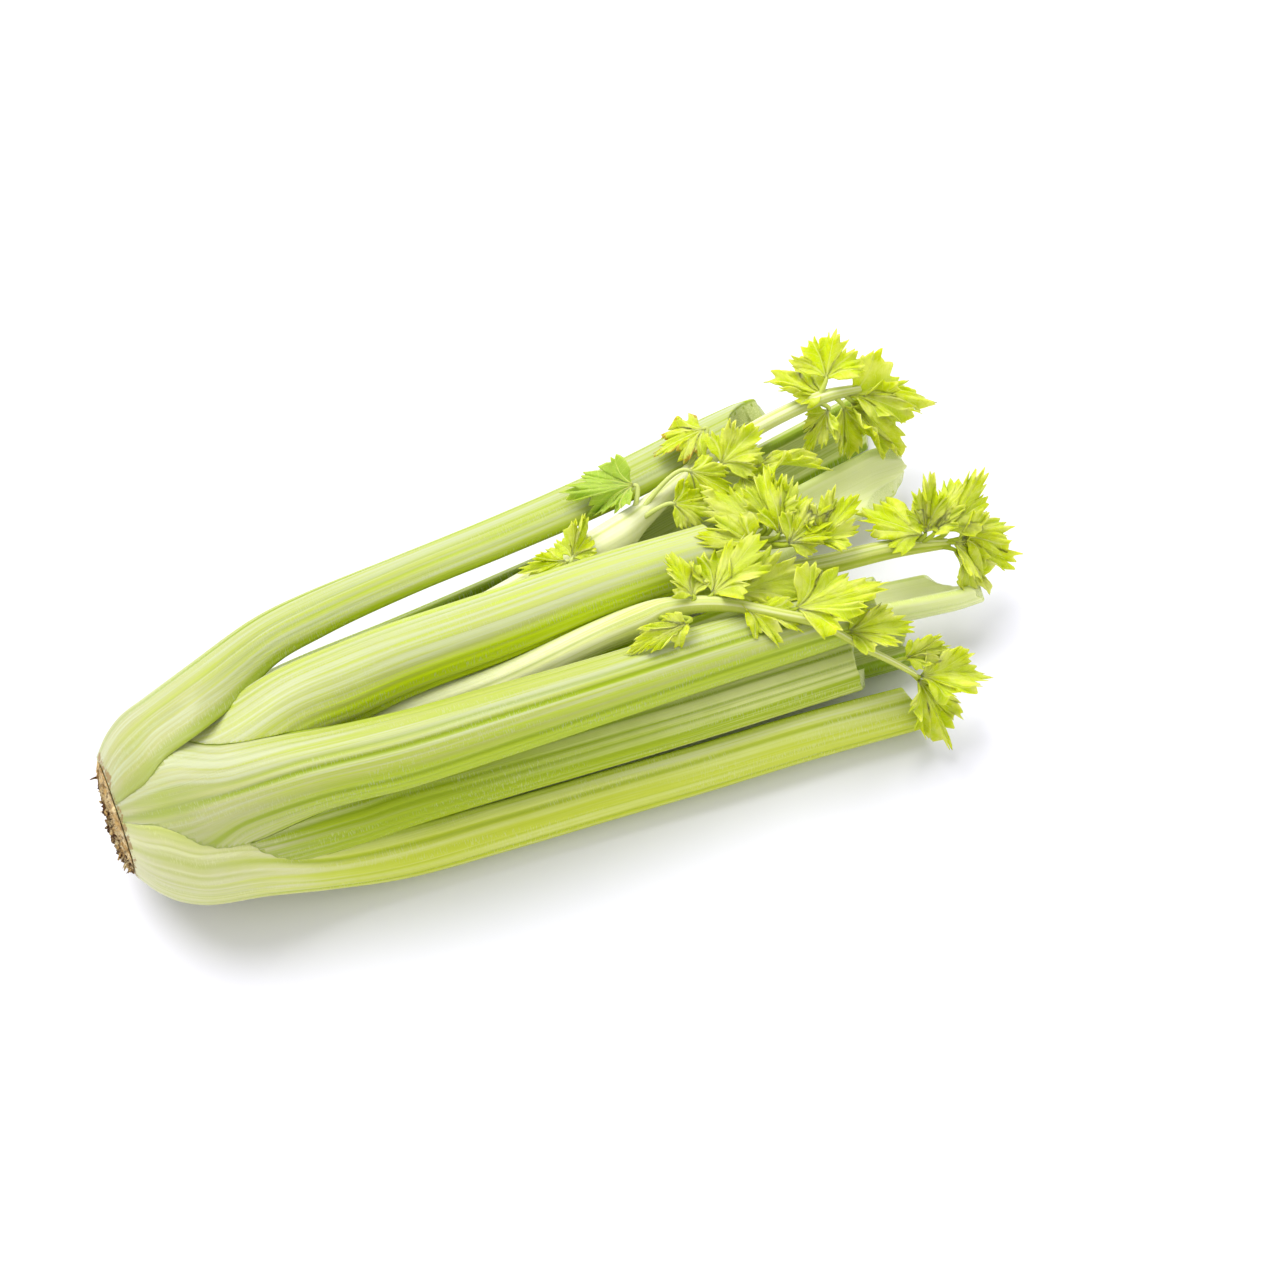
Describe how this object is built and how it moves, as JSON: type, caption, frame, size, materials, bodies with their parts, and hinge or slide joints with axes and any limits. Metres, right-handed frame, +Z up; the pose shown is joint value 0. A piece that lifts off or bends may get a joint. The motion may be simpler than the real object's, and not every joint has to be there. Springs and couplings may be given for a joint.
{
  "type": "head of celery",
  "caption": "Head of celery lying on its side, with ribbed stalks wrapped together at a root crown, trimmed ends and leafy stems from its heart.",
  "frame": {"origin": "on the surface that the head lies on, at the flat spot under the belly of its butt, on the middle floor stalk", "axes": "+X along the head from its root crown to its leaf tips, +Z up, -Y towards the side where the top near stalk lies"},
  "size_m": [0.3583, 0.159, 0.0805],
  "materials": {
    "outer_stalk": "fresh ribbed stalk, pale at the butt and lime green along its back, satin to glossy, slightly translucent",
    "heart_stalk": "fresh ribbed inner stalk, paler and yellower than the outer ones, satin to glossy",
    "leafy_stem": "pale petiole with thin yellow-green toothed leaves, lighter veins, soft sheen",
    "root_crown": "dry brown cut root plate with a few rootlet stubs, rough and matt"
  },
  "bodies": {
    "root": {"root_crown": "root_crown", "stalk_far_side": "outer_stalk", "stalk_floor_middle": "outer_stalk", "stalk_near_floor": "outer_stalk", "stalk_top_near": "outer_stalk", "stalk_floor_far": "outer_stalk", "stalk_floor_near": "outer_stalk", "stalk_top_far": "outer_stalk", "stalk_near_side": "outer_stalk", "stalk_floor_inner": "heart_stalk", "stalk_inner": "heart_stalk", "leafy_stem_far": "leafy_stem", "leafy_stem_near": "leafy_stem", "leafy_stem_right": "leafy_stem", "leafy_stem_heart": "leafy_stem"}
  },
  "joints": []
}
